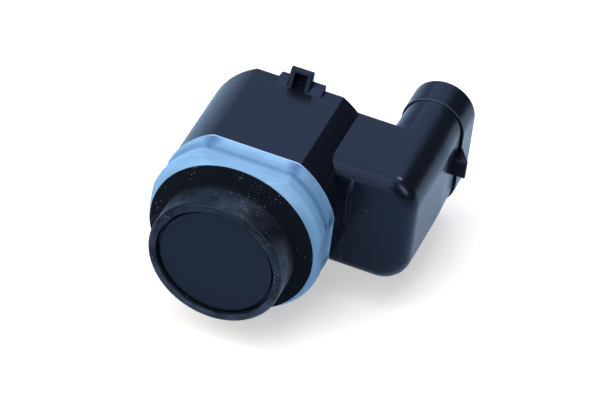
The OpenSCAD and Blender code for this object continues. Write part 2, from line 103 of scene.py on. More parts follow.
class Detail(Enum):
    """How much finer detail a noise has."""

    LOW = 1.0
    MIDDLE = 2.0
    HIGH = 3.0


def extent(node: str) -> tuple[Array, Array]:
    """Gives the box of a construction node.

    Args:
        node: Name of the node.

    Returns:
        Its lowest and highest corner, in millimetres.
    """
    low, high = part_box(node)
    return np.array(low) / MM, np.array(high) / MM


def linear(colour: str) -> tuple[float, float, float, float]:
    """Turns an sRGB colour into the linear one that a shader takes.

    Args:
        colour: Hex value such as "#20304a".

    Returns:
        Linear red, green, blue and an alpha of one.
    """
    srgb = np.array([int(colour[at:at + 2], 16) for at in (1, 3, 5)]) / 255
    value = np.where(srgb <= 0.04045, srgb / 12.92, ((srgb + 0.055) / 1.055) ** 2.4)
    return (*(float(channel) for channel in value), 1.0)


def rounded_path(corners: list[tuple[float, float, float]]) -> Array:
    """Draws a closed outline whose corners are arcs.

    Each corner is replaced by the arc that touches both of its sides: the centre lies on the bisector, at the
    radius over the sine of half the corner's angle.

    Args:
        corners: Two coordinates and a radius for each corner, in order.

    Returns:
        The outline's points, one row each.
    """
    table = np.array(corners, float)
    point, radius = table[:, :2], table[:, 2:]
    before = np.roll(point, 1, axis=0) - point
    after = np.roll(point, -1, axis=0) - point
    before /= np.linalg.norm(before, axis=1, keepdims=True)
    after /= np.linalg.norm(after, axis=1, keepdims=True)
    middle = before + after
    middle /= np.maximum(np.linalg.norm(middle, axis=1, keepdims=True), TINY)
    half = np.arccos(np.clip((before * after).sum(1, keepdims=True), -1, 1)) / 2
    centre = point + middle * radius / np.sin(half)
    begin = point + before * radius / np.tan(half) - centre
    finish = point + after * radius / np.tan(half) - centre
    first = np.arctan2(begin[:, 1], begin[:, 0])
    turn = np.arctan2(finish[:, 1], finish[:, 0]) - first
    turn = (turn + math.pi) % (2 * math.pi) - math.pi
    angle = first[:, None] + turn[:, None] * np.linspace(0, 1, EDGE_STEPS + 1)
    arcs = centre[:, None] + radius[:, None] * np.stack([np.cos(angle), np.sin(angle)], -1)
    return arcs.reshape(-1, 2)


def revolved(profile: Array) -> Array:
    """Carries a profile of radius and distance once round the sensor axis.

    Args:
        profile: Rows of radius and distance along the axis.

    Returns:
        Grid of points: profile by turn by coordinate.
    """
    turn = np.linspace(0, 2 * math.pi, ROUND_STEPS, endpoint=False)
    radius, along = profile[:, :1], profile[:, 1:]
    return np.stack([radius * np.cos(turn), along + 0 * turn, radius * np.sin(turn)], -1)


def flatted_rings(rows: Array, crease: float) -> Array:
    """Draws rings of the housing's family: a disc cut by two side flats and by a top and a bottom flat.

    The disc and its flats are drawn in by the crease radius. A point is that smaller shape's support point,
    at the normal angle held between the ends of its arc, moved out along the normal by the crease radius.

    Args:
        rows: Radius, half width, half height and distance along the axis of each ring.
        crease: Radius of the rounding where a flat meets the arc.

    Returns:
        Grid of points: ring by turn by coordinate.
    """
    radius, half_width, half_height, along = (rows[:, at:at + 1] for at in range(4))
    inner = radius - crease
    start = np.arccos(np.clip((half_width - crease) / inner, -1, 1))
    end = np.arcsin(np.clip((half_height - crease) / inner, -1, 1))
    fold = np.linspace(0, 1, CREASE_STEPS + 1)
    sweep = np.linspace(0, 1, ARC_STEPS + 1)[1:]
    angle = np.concatenate(
        [start * fold, start + (end - start) * sweep, end + (math.pi / 2 - end) * fold[1:]], axis=1
    )
    held = np.clip(angle, start, end)
    quarter = np.stack(
        [inner * np.cos(held) + crease * np.cos(angle), inner * np.sin(held) + crease * np.sin(angle)], -1
    )
    back = quarter[:, ::-1]
    outline = np.concatenate([quarter, back * (-1, 1), quarter * (-1, -1), back * (1, -1)], axis=1)
    return np.stack([outline[..., 0], along + 0 * outline[..., 0], outline[..., 1]], -1)


def quarter_round(radius: float) -> tuple[Array, Array]:
    """Samples a quarter circle that rounds an edge.

    Args:
        radius: Radius of the edge.

    Returns:
        How far each step is drawn in, from the full radius to nothing, and how far it lies from the face.
    """
    turn = np.linspace(0, math.pi / 2, EDGE_STEPS + 1)
    return radius * (1 - np.sin(turn)), radius * (1 - np.cos(turn))


def make_piece(name: str, grid: Array, closed: bool) -> Piece:
    """Turns a grid of points, whose columns run round, into a closed piece.

    Args:
        name: Name of the piece.
        grid: Points in millimetres, row by column by coordinate.
        closed: Whether the last row joins the first one; otherwise both end rows are capped.

    Returns:
        The piece, linked to the scene, with its faces pointing outwards.
    """
    rows, columns = grid.shape[:2]
    index = np.arange(rows * columns).reshape(rows, columns)
    across = np.roll(index, -1, axis=1)
    below = np.roll(index, -1, axis=0)
    corner = np.roll(across, -1, axis=0)
    last = rows if closed else rows - 1
    quads = np.stack([index, across, corner, below], -1)[:last].reshape(-1, 4)
    caps = [] if closed else [index[0, ::-1].tolist(), index[-1].tolist()]
    mesh = bpy.data.meshes.new(name)
    mesh.from_pydata((grid.reshape(-1, 3) * MM).tolist(), [], quads.tolist() + caps)
    tidy = bmesh.new()
    tidy.from_mesh(mesh)
    bmesh.ops.remove_doubles(tidy, verts=tidy.verts, dist=MERGE_MM * MM)
    bmesh.ops.recalc_face_normals(tidy, faces=tidy.faces)
    tidy.to_mesh(mesh)
    tidy.free()
    piece = bpy.data.objects.new(name, mesh)
    bpy.context.scene.collection.objects.link(piece)
    return piece


def apply_modifiers(piece: Piece) -> None:
    """Writes a piece's modifiers into its mesh.

    Args:
        piece: The piece, which keeps its name.
    """
    seen = piece.evaluated_get(bpy.context.evaluated_depsgraph_get())
    finished = bpy.data.meshes.new_from_object(seen)
    piece.modifiers.clear()
    piece.data = finished
    finished.name = piece.name


def combine(base: Piece, tool: Piece, how: Combine) -> None:
    """Joins a closed shape to another, or cuts it away, and removes it.

    Args:
        base: The piece that stays.
        tool: The shape that is used up.
        how: Whether the shape is added or cut away.
    """
    modifier = base.modifiers.new(how.name.lower(), "BOOLEAN")
    modifier.operation = how.value
    modifier.solver = "MANIFOLD"
    modifier.object = tool
    apply_modifiers(base)
    bpy.data.objects.remove(tool)


def rounded_bar(
    name: str, outline: Array, way: Way, low: float | Array, high: float | Array, edge: float
) -> Piece:
    """Draws a straight bar out of an outline and rounds its edges.

    Args:
        name: Name of the piece.
        outline: Rows of Y and Z for a bar along X, or of X and Y for a bar along Z.
        way: Which way the bar runs.
        low: Where the bar begins, for all of the outline or for each of its points.
        high: Where it ends.
        edge: Radius of its edges.

    Returns:
        The bar as a closed piece.
    """
    ends = np.stack([low + np.zeros(len(outline)), high + np.zeros(len(outline))])
    grid = np.insert(np.broadcast_to(outline, (2, *outline.shape)), way.value, ends, axis=2)
    bar = make_piece(name, grid, closed=False)
    bevel = bar.modifiers.new("edges", "BEVEL")
    bevel.width = edge * MM
    bevel.segments = BAR_EDGE_STEPS
    bevel.limit_method = "ANGLE"
    apply_modifiers(bar)
    return bar


def finish_piece(piece: Piece, material: Material, node: str) -> None:
    """Smooths a piece, dresses it and hands it to the frame in place of a construction node.

    Args:
        piece: The finished shape.
        material: Its finish.
        node: The construction node that it stands for.
    """
    mesh = piece.data
    mesh.shade_smooth()
    mesh.set_sharp_from_angle(angle=SHARP_ANGLE)
    weighted = piece.modifiers.new("flat faces", "WEIGHTED_NORMAL")
    weighted.keep_sharp = True
    mesh.materials.clear()
    mesh.materials.append(material)
    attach(piece, BODY)
    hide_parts(node)
    LOG.info("%s: %d faces, stands for %s", piece.name, len(mesh.polygons), node)


def add_node(tree: Tree, kind: str, settings: dict, inputs: dict) -> Node:
    """Adds one shader node.

    Args:
        tree: The material's node tree.
        kind: Type of the node, without its ShaderNode prefix.
        settings: Properties of the node.
        inputs: Its inputs by name or number: values, sockets, or nodes whose first output is meant.

    Returns:
        The node.
    """
    node = tree.nodes.new("ShaderNode" + kind)
    for key, value in settings.items():
        setattr(node, key, value)
    for key, value in inputs.items():
        if isinstance(value, Node):
            tree.links.new(value.outputs[0], node.inputs[key])
        elif isinstance(value, Socket):
            tree.links.new(value, node.inputs[key])
        else:
            node.inputs[key].default_value = value
    return node


def per_metre(spacing: float) -> float:
    """Gives the scale at which a pattern on Object coordinates repeats at a spacing in millimetres."""
    return 1 / (spacing * MM)


def wandering(
    tree: Tree,
    place: Socket,
    spacing: float,
    detail: Detail,
    given: tuple[float, float],
    limits: tuple[float, float] = (0.0, 1.0),
) -> Socket:
    """Gives a value that wanders from place to place between two values.

    Args:
        tree: The material's node tree.
        place: Where the pattern is read.
        spacing: Size of its patches in millimetres.
        detail: How much finer detail it has.
        given: The least and the most that it gives.
        limits: The levels of a noise that give these two.

    Returns:
        The value.
    """
    noise = add_node(
        tree, "TexNoise", {}, {"Vector": place, "Scale": per_metre(spacing), "Detail": detail.value}
    )
    spread = add_node(
        tree,
        "MapRange",
        {},
        {
            "Value": noise.outputs["Fac"],
            "From Min": limits[0],
            "From Max": limits[1],
            "To Min": given[0],
            "To Max": given[1],
        },
    )
    return spread.outputs[0]


@dataclass(frozen=True)
class Finish:
    """One surface finish: the named material, its base values and the patterns that all finishes share."""

    name: str
    colour: str
    roughness: float
    metallic: float = 0.0
    specular: float = 0.5
    specular_tint: str = "#ffffff"
    mottle_mm: float = 3.0
    mottle: float = 0.12
    grain_mm: float = 0.25
    grain_height: float = 0.004
    wear_mm: float = 1.0
    wear: float = 0.05

    def material(self) -> Material:
        """Builds the material: mottled colour, wear in the roughness, and a fine bump.

        Returns:
            The material.
        """
        made = bpy.data.materials.new(self.name)
        made.use_nodes = True
        tree = made.node_tree
        shader = tree.nodes["Principled BSDF"]
        shader.inputs["Metallic"].default_value = self.metallic
        shader.inputs["Specular IOR Level"].default_value = self.specular
        shader.inputs["Specular Tint"].default_value = linear(self.specular_tint)
        place = add_node(tree, "TexCoord", {}, {}).outputs["Object"]
        colour = self.mottled(tree, place)
        roughness = self.worn(tree, place)
        tree.links.new(self.painted(tree, place, colour), shader.inputs["Base Color"])
        tree.links.new(self.shined(tree, place, roughness), shader.inputs["Roughness"])
        tree.links.new(self.grained(tree, place), shader.inputs["Normal"])
        self.deepen(tree, place, shader)
        return made

    def mottled(self, tree: Tree, place: Socket) -> Socket:
        """Varies the base colour a little from place to place."""
        gain = wandering(tree, place, self.mottle_mm, Detail.HIGH, (1 - self.mottle, 1 + self.mottle))
        return add_node(
            tree, "VectorMath", {"operation": "SCALE"}, {0: linear(self.colour)[:3], "Scale": gain}
        ).outputs[0]

    def worn(self, tree: Tree, place: Socket) -> Socket:
        """Varies the roughness, as handling does."""
        low, high = max(LEAST_ROUGHNESS, self.roughness - self.wear), min(1.0, self.roughness + self.wear)
        return wandering(tree, place, self.wear_mm, Detail.MIDDLE, (low, high))

    def grained(self, tree: Tree, place: Socket) -> Socket:
        """Raises the fine grain of the surface; the grain is drawn as coarse as it needs to show.

        Args:
            tree: The material's node tree.
            place: Where the grain is read.

        Returns:
            The raised surface's normal.
        """
        grain = add_node(
            tree,
            "TexNoise",
            {},
            {"Vector": place, "Scale": per_metre(self.grain_mm), "Detail": Detail.MIDDLE.value},
        )
        bump = add_node(
            tree,
            "Bump",
            {},
            {"Height": grain.outputs["Fac"], "Strength": 1.0, "Distance": self.grain_height * MM},
        )
        return bump.outputs["Normal"]

    def painted(self, tree: Tree, place: Socket, colour: Socket) -> Socket:
        """Leaves the colour as it is; finishes with dust or wear put it on here."""
        return colour

    def shined(self, tree: Tree, place: Socket, roughness: Socket) -> Socket:
        """Leaves the roughness as it is; finishes with dull zones set them here."""
        return roughness

    def deepen(self, tree: Tree, place: Socket, shader: Node) -> None:
        """Leaves the shader as it is; translucent and partly dull finishes set it here."""


@dataclass(frozen=True)
class DustyFinish(Finish):
    """A dark finish that shows light specks of dust."""

    dust: str = "#9aa4b4"
    dust_mm: float = 1.6
    dust_size: float = 0.07
    dust_share: float = 0.25
    clump_mm: float = 4.0
    clump_limits: tuple[float, float] = (0.42, 0.52)

    def painted(self, tree: Tree, place: Socket, colour: Socket) -> Socket:
        """Scatters specks in clumps: the middles of some cells of a cell pattern are lightened.

        Args:
            tree: The material's node tree.
            place: Where the specks are read.
            colour: The clean colour.

        Returns:
            The dusty colour.
        """
        cells = add_node(tree, "TexVoronoi", {}, {"Vector": place, "Scale": per_metre(self.dust_mm)})
        pick = add_node(tree, "SeparateColor", {}, {0: cells.outputs["Color"]})
        size = add_node(
            tree,
            "MapRange",
            {},
            {"Value": pick.outputs[0], "From Min": 1 - self.dust_share, "To Max": self.dust_size},
        )
        clump = wandering(tree, place, self.clump_mm, Detail.LOW, (0.0, 1.0), self.clump_limits)
        gathered = add_node(tree, "Math", {"operation": "MULTIPLY"}, {0: size, 1: clump})
        speck = add_node(
            tree, "Math", {"operation": "LESS_THAN"}, {0: cells.outputs["Distance"], 1: gathered}
        )
        mixed = add_node(tree, "Mix", {"data_type": "RGBA"}, {0: speck, 6: colour, 7: linear(self.dust)})
        return mixed.outputs[2]


@dataclass(frozen=True)
class SiliconeFinish(Finish):
    """Soft translucent silicone rubber: light enters it and comes out a little way off."""

    depth_mm: float = 0.8
    bleed: tuple[float, float, float] = (0.6, 0.8, 1.0)
    translucency: float = 0.15
    # painted shade: the colour that darkens the valley and the lip's corners, and how strongly
    painted_shade: str = "#4a6d92"
    shade_amount: float = 0.85
    valley_shade_amount: float = 0.65
    valley_y: float = 5.55
    valley_reach: float = 1.4
    lip_rise: float = 1.5
    corner_angles: tuple[float, ...] = (0.286, 1.056)
    corner_reach: float = 0.15
    # painted highlight along the rear edge: its colour, place, blend and strength
    edge: str = "#d4eaff"
    highlight_y: float = 7.62
    highlight_blend: float = 0.06
    highlight_amount: float = 0.8
    streak: float = 0.12
    streak_mm: float = 1.0
    streak_run: float = 2.0
    streak_limits: tuple[float, float] = (0.3, 0.7)

    def painted(self, tree: Tree, place: Socket, colour: Socket) -> Socket:
        """Streaks the colour, adds painted shade in the valley and at the lip's corners, and a painted
        highlight along the rear edge.

        Args:
            tree: The material's node tree.
            place: Where the pattern is read.
            colour: The even colour.

        Returns:
            The colour with its streaks, painted shade and painted highlight.
        """
        axes = add_node(tree, "SeparateXYZ", {}, {0: place})
        along = axes.outputs[1]
        up, across = (
            add_node(tree, "Math", {"operation": "ABSOLUTE"}, {0: axes.outputs[at]}) for at in (2, 0)
        )
        turn = add_node(tree, "Math", {"operation": "ARCTAN2"}, {0: up, 1: across}).outputs[0]
        # painted highlight: the colour is lightened along the rear edge
        rear = add_node(
            tree,
            "MapRange",
            {},
            {
                "Value": along,
                "From Min": (self.highlight_y - self.highlight_blend) * MM,
                "From Max": (self.highlight_y + self.highlight_blend) * MM,
                "To Max": self.highlight_amount,
            },
        )
        # painted shade in the valley and the lip's corners, then a painted highlight along the rear edge
        layers = ((self.darkened(tree, turn, along), self.painted_shade), (rear.outputs[0], self.edge))
        painted = self.streaked(tree, turn, along, colour)
        for amount, over in layers:
            painted = add_node(
                tree, "Mix", {"data_type": "RGBA"}, {0: amount, 6: painted, 7: linear(over)}
            ).outputs[2]
        return painted

    def streaked(self, tree: Tree, turn: Socket, along: Socket, colour: Socket) -> Socket:
        """Draws the streaks that the rubber's flow leaves round the collar.

        They are a noise of the distance along the axis and of the angle round it, which counts for little.

        Args:
            tree: The material's node tree.
            turn: Angle round the axis.
            along: Distance along the axis.
            colour: The even colour.

        Returns:
            The streaked colour.
        """
        run = add_node(tree, "Math", {"operation": "MULTIPLY"}, {0: turn, 1: self.streak_run * MM})
        drawn = add_node(tree, "CombineXYZ", {}, {0: run, 1: along}).outputs[0]
        least, most = 1 - self.streak, 1 + self.streak
        gain = wandering(tree, drawn, self.streak_mm, Detail.MIDDLE, (least, most), self.streak_limits)
        return add_node(tree, "VectorMath", {"operation": "SCALE"}, {0: colour, "Scale": gain}).outputs[0]

    def darkened(self, tree: Tree, turn: Socket, along: Socket) -> Socket:
        """Finds the valley and the corners of the lip, where shade is painted into the colour.

        Args:
            tree: The material's node tree.
            turn: Angle round the axis.
            along: Distance along the axis.

        Returns:
            How much painted shade there is.
        """
        lip = add_node(
            tree,
            "MapRange",
            {"interpolation_type": "SMOOTHSTEP"},
            {
                "Value": along,
                "From Min": (self.valley_y - self.lip_rise) * MM,
                "From Max": self.valley_y * MM,
            },
        )
        # painted shade: strongest in the valley and at the lip's corners
        valley = self.bump(tree, along, self.valley_y * MM, self.valley_reach * MM)
        painted_shade = add_node(tree, "Math", {"operation": "MULTIPLY"}, {0: valley, 1: self.valley_shade_amount})
        for angle in self.corner_angles:
            corner = self.bump(tree, turn, angle, self.corner_reach)
            folded = add_node(tree, "Math", {"operation": "MULTIPLY"}, {0: corner, 1: lip})
            painted_shade = add_node(tree, "Math", {"operation": "MAXIMUM"}, {0: painted_shade, 1: folded})
        amount = add_node(tree, "Math", {"operation": "MULTIPLY"}, {0: painted_shade, 1: self.shade_amount})
        return amount.outputs[0]

    def bump(self, tree: Tree, value: Socket, middle: float, reach: float) -> Socket:
        """Gives one at a middle value, falling smoothly to nothing at a reach to both sides.

        Args:
            tree: The material's node tree.
            value: What is measured.
            middle: Where it gives one.
            reach: How far from there it gives nothing.

        Returns:
            A value from nothing to one.
        """
        off = add_node(tree, "Math", {"operation": "SUBTRACT"}, {0: value, 1: middle})
        away = add_node(tree, "Math", {"operation": "ABSOLUTE"}, {0: off})
        near = add_node(
            tree,
            "MapRange",
            {"interpolation_type": "SMOOTHSTEP"},
            {"Value": away, "From Max": reach, "To Min": 1.0, "To Max": 0.0},
        )
        return near.outputs[0]

    def deepen(self, tree: Tree, place: Socket, shader: Node) -> None:
        """Sets how far light spreads under the surface.

        Args:
            tree: The material's node tree.
            place: Not used.
            shader: The shader that is set.
        """
        shader.inputs["Subsurface Weight"].default_value = self.translucency
        shader.inputs["Subsurface Radius"].default_value = self.bleed
        shader.inputs["Subsurface Scale"].default_value = self.depth_mm * MM


@dataclass(frozen=True)
class ScuffedFinish(DustyFinish):
    """A dusty finish with light scuffs along Z where the elbow leaves the body, and a painted highlight on
    the bevel in front of the socket's band.
    """

    scuff: str = "#565b66"
    scuff_x: float = 13.35
    scuff_half: float = 0.5
    scuff_y: float = 12.6
    scuff_mm: float = 0.14
    scuff_stretch: float = 0.025
    scuff_limits: tuple[float, float] = (0.57, 0.72)
    # painted highlight on the band's bevel: its colour, place and half width
    bevel_highlight: str = "#626974"
    bevel_highlight_y: float = 32.95
    bevel_highlight_half: float = 0.08
    bevel_facing: float = -0.65
    bevel_spread: float = 0.25

    def painted(self, tree: Tree, place: Socket, colour: Socket) -> Socket:
        """Adds the scuffs and a painted highlight line on the band's bevel to the dust.

        Args:
            tree: The material's node tree.
            place: Where the patterns are read.
            colour: The clean colour.

        Returns:
            The dusty, scuffed colour with its painted highlight.
        """
        axes = add_node(tree, "SeparateXYZ", {}, {0: place})
        painted = super().painted(tree, place, colour)
        # the scuffs, then the painted highlight on the band's bevel
        layers = ((self.scuffed(tree, place, axes), self.scuff), (self.highlighted_bevel(tree, axes), self.bevel_highlight))
        for amount, over in layers:
            painted = add_node(
                tree, "Mix", {"data_type": "RGBA"}, {0: amount, 6: painted, 7: linear(over)}
            ).outputs[2]
        return painted

    def scuffed(self, tree: Tree, place: Socket, axes: Node) -> Socket:
        """Draws the scuffs: a noise that is stretched along Z and shows in a narrow strip.

        Args:
            tree: The material's node tree.
            place: Where the noise is read.
            axes: That place as its three coordinates.

        Returns:
            How much of the scuffs shows.
        """
        stretch = (1.0, 1.0, self.scuff_stretch)
        drawn = add_node(tree, "VectorMath", {"operation": "MULTIPLY"}, {0: place, 1: stretch}).outputs[0]
        lines = wandering(tree, drawn, self.scuff_mm, Detail.LOW, (0.0, 1.0), self.scuff_limits)
        strip = add_node(
            tree,
            "Math",
            {"operation": "COMPARE"},
            {0: axes.outputs[0], 1: self.scuff_x * MM, 2: self.scuff_half * MM},
        )
        ahead = add_node(tree, "Math", {"operation": "LESS_THAN"}, {0: axes.outputs[1], 1: self.scuff_y * MM})
        where = add_node(tree, "Math", {"operation": "MULTIPLY"}, {0: strip, 1: ahead})
        amount = add_node(tree, "Math", {"operation": "MULTIPLY"}, {0: where, 1: lines})
        return amount.outputs[0]

    def highlighted_bevel(self, tree: Tree, axes: Node) -> Socket:
        """Finds the bevel in front of the socket's band, where a highlight is painted, by its place along Y
        and the way it faces.

        Args:
            tree: The material's node tree.
            axes: Object coordinates, one by one.

        Returns:
            One on the bevel and nothing elsewhere.
        """
        edge = add_node(
            tree,
            "Math",
            {"operation": "COMPARE"},
            {0: axes.outputs[1], 1: self.bevel_highlight_y * MM, 2: self.bevel_highlight_half * MM},
        )
        normal = add_node(tree, "NewGeometry", {}, {}).outputs["Normal"]
        facing = add_node(tree, "SeparateXYZ", {}, {0: normal})
        bevel = add_node(
            tree,
            "Math",
            {"operation": "COMPARE"},
            {0: facing.outputs[1], 1: self.bevel_facing, 2: self.bevel_spread},
        )
        line = add_node(tree, "Math", {"operation": "MULTIPLY"}, {0: edge, 1: bevel})
        return line.outputs[0]


@dataclass(frozen=True)
class PartMatteFinish(DustyFinish):
    """A satin finish across the sensor axis: a polished rim in front, and dull behind a plane."""

    matte_from: float = -0.35
    matte_blend: float = 1.2
    matte_roughness: float = 0.85
    matte_specular: float = 0.1
    smear_mm: float = 2.4
    smear: float = 0.5
    smear_limits: tuple[float, float] = (0.35, 0.65)
    rim_y: float = -4.6
    rim_gain: tuple[float, float] = (1.8, 0.8)
    rim_fade: float = 6.0

    def matte(self, tree: Tree, place: Socket) -> Socket:
        """Gives one behind the plane, falling smoothly to nothing in front of it.

        Args:
            tree: The material's node tree.
            place: Where the plane is looked for.

        Returns:
            How dull the place is.
        """
        axes = add_node(tree, "SeparateXYZ", {}, {0: place})
        behind = add_node(
            tree,
            "MapRange",
            {"interpolation_type": "SMOOTHSTEP"},
            {
                "Value": axes.outputs[1],
                "From Min": (self.matte_from - self.matte_blend) * MM,
                "From Max": self.matte_from * MM,
            },
        )
        return behind.outputs[0]

    def shined(self, tree: Tree, place: Socket, roughness: Socket) -> Socket:
        """Roughens the dull part."""
        dull = self.matte(tree, place)
        return add_node(tree, "Mix", {}, {0: dull, 2: roughness, 3: self.matte_roughness}).outputs[0]

    def deepen(self, tree: Tree, place: Socket, shader: Node) -> None:
        """Smears the satin part's sheen, polishes the rim's lower half and weakens the dull part's sheen.

        Args:
            tree: The material's node tree.
            place: Where the patterns are read.
            shader: The shader whose sheen is set.
        """
        least, most = self.specular * (1 - self.smear), self.specular * (1 + self.smear)
        satin = wandering(tree, place, self.smear_mm, Detail.MIDDLE, (least, most), self.smear_limits)
        axes = add_node(tree, "SeparateXYZ", {}, {0: place})
        rim = add_node(tree, "Math", {"operation": "LESS_THAN"}, {0: axes.outputs[1], 1: self.rim_y * MM})
        gain = add_node(
            tree,
            "MapRange",
            {},
            {
                "Value": axes.outputs[2],
                "From Min": -self.rim_fade * MM,
                "From Max": self.rim_fade * MM,
                "To Min": self.rim_gain[0],
                "To Max": self.rim_gain[1],
            },
        )
        polish = add_node(tree, "Math", {"operation": "MULTIPLY"}, {0: satin, 1: gain})
        front = add_node(tree, "Mix", {}, {0: rim, 2: satin, 3: polish})
        dull = self.matte(tree, place)
        level = add_node(tree, "Mix", {}, {0: dull, 2: front, 3: self.matte_specular})
        tree.links.new(level.outputs[0], shader.inputs["Specular IOR Level"])


# Glass-filled polyamide from a polished mould: near black, satin, with a cold sheen on its flats and a
# painted highlight on the bevel in front of the socket's band
HOUSING_PLASTIC = ScuffedFinish(
    name="moulded_polyamide",
    colour="#111318",
    roughness=0.26,
    specular=0.23,
    specular_tint="#c8d6ff",
    mottle=0.08,
    grain_height=0.0012,
    dust="#707a8c",
    dust_share=0.12,
)
# Light blue silicone rubber: soft satin and slightly see-through, with painted shade in its valley and lip
# corners and a painted highlight on its rear edge
COLLAR_SILICONE = SiliconeFinish(
    name="moulded_blue_silicone",
    colour="#92b4c8",
    roughness=0.45,
    specular=0.3,
    mottle=0.06,
    grain_height=0.002,
)
# Black silicone rubber: satin where the mould was polished, dull and dusty on the flange
RING_SILICONE = PartMatteFinish(
    name="moulded_black_silicone",
    colour="#0f1114",
    roughness=0.45,
    specular=0.32,
    specular_tint="#d4dffa",
    mottle=0.15,
    wear_mm=3.0,
    wear=0.2,
    grain_height=0.0015,
    dust="#878e98",
    dust_share=0.85,
    dust_mm=0.4,
    dust_size=0.21,
)
# Aluminium with sprayed primer: an even satin film
MEMBRANE_PAINT = DustyFinish(
    name="primed_aluminium",
    colour="#11131a",
    roughness=0.45,
    specular=0.24,
    specular_tint="#c8d6ff",
    mottle=0.05,
    dust="#555c69",
    dust_share=0.06,
)
# Pieces inside, each in the plain colour and sheen of what it is made of
INNER_FINISHES = {
    "piezo_disc": Finish("fired_ceramic", "#d9d1bf", 0.55),
    "damping_plug": Finish("silicone_foam", "#c0c0b8", 0.9, grain_mm=0.4, grain_height=0.05),
    "piezo_lead_live": Finish("red_insulation", "#bf1f1a", 0.45),
    "piezo_lead_ground": Finish("black_insulation", "#151517", 0.45),
    "circuit_board": Finish("solder_mask", "#1a5933", 0.35, mottle_mm=1.2, mottle=0.25),
    "signal_chip": Finish("moulded_epoxy", "#151517", 0.6),
    "transformer_core": Finish("sintered_ferrite", "#38383b", 0.7, mottle=0.2),
    "transformer_bobbin": Finish("moulded_polyester", "#dbd1b3", 0.5),
    "transformer_winding": Finish("enamelled_copper", "#b86b33", 0.3, metallic=1.0, grain_height=0.02),
    "storage_capacitor": Finish("drawn_aluminium", "#cccccf", 0.35, metallic=1.0),
    "chip_capacitors": Finish("capacitor_ceramic", "#b8996b", 0.5),
    "chip_resistors": Finish("resistor_glaze", "#17171a", 0.35),
    "protection_diode": Finish("diode_epoxy", "#151517", 0.6),
    **{
        f"terminal_{wire}": Finish(f"tinned_bronze_{wire}", "#c9c9cc", 0.3, metallic=1.0)
        for wire in ("supply", "signal", "ground")
    },
    "solder_joints": Finish("solder", "#c4c4c7", 0.22, metallic=1.0),
}


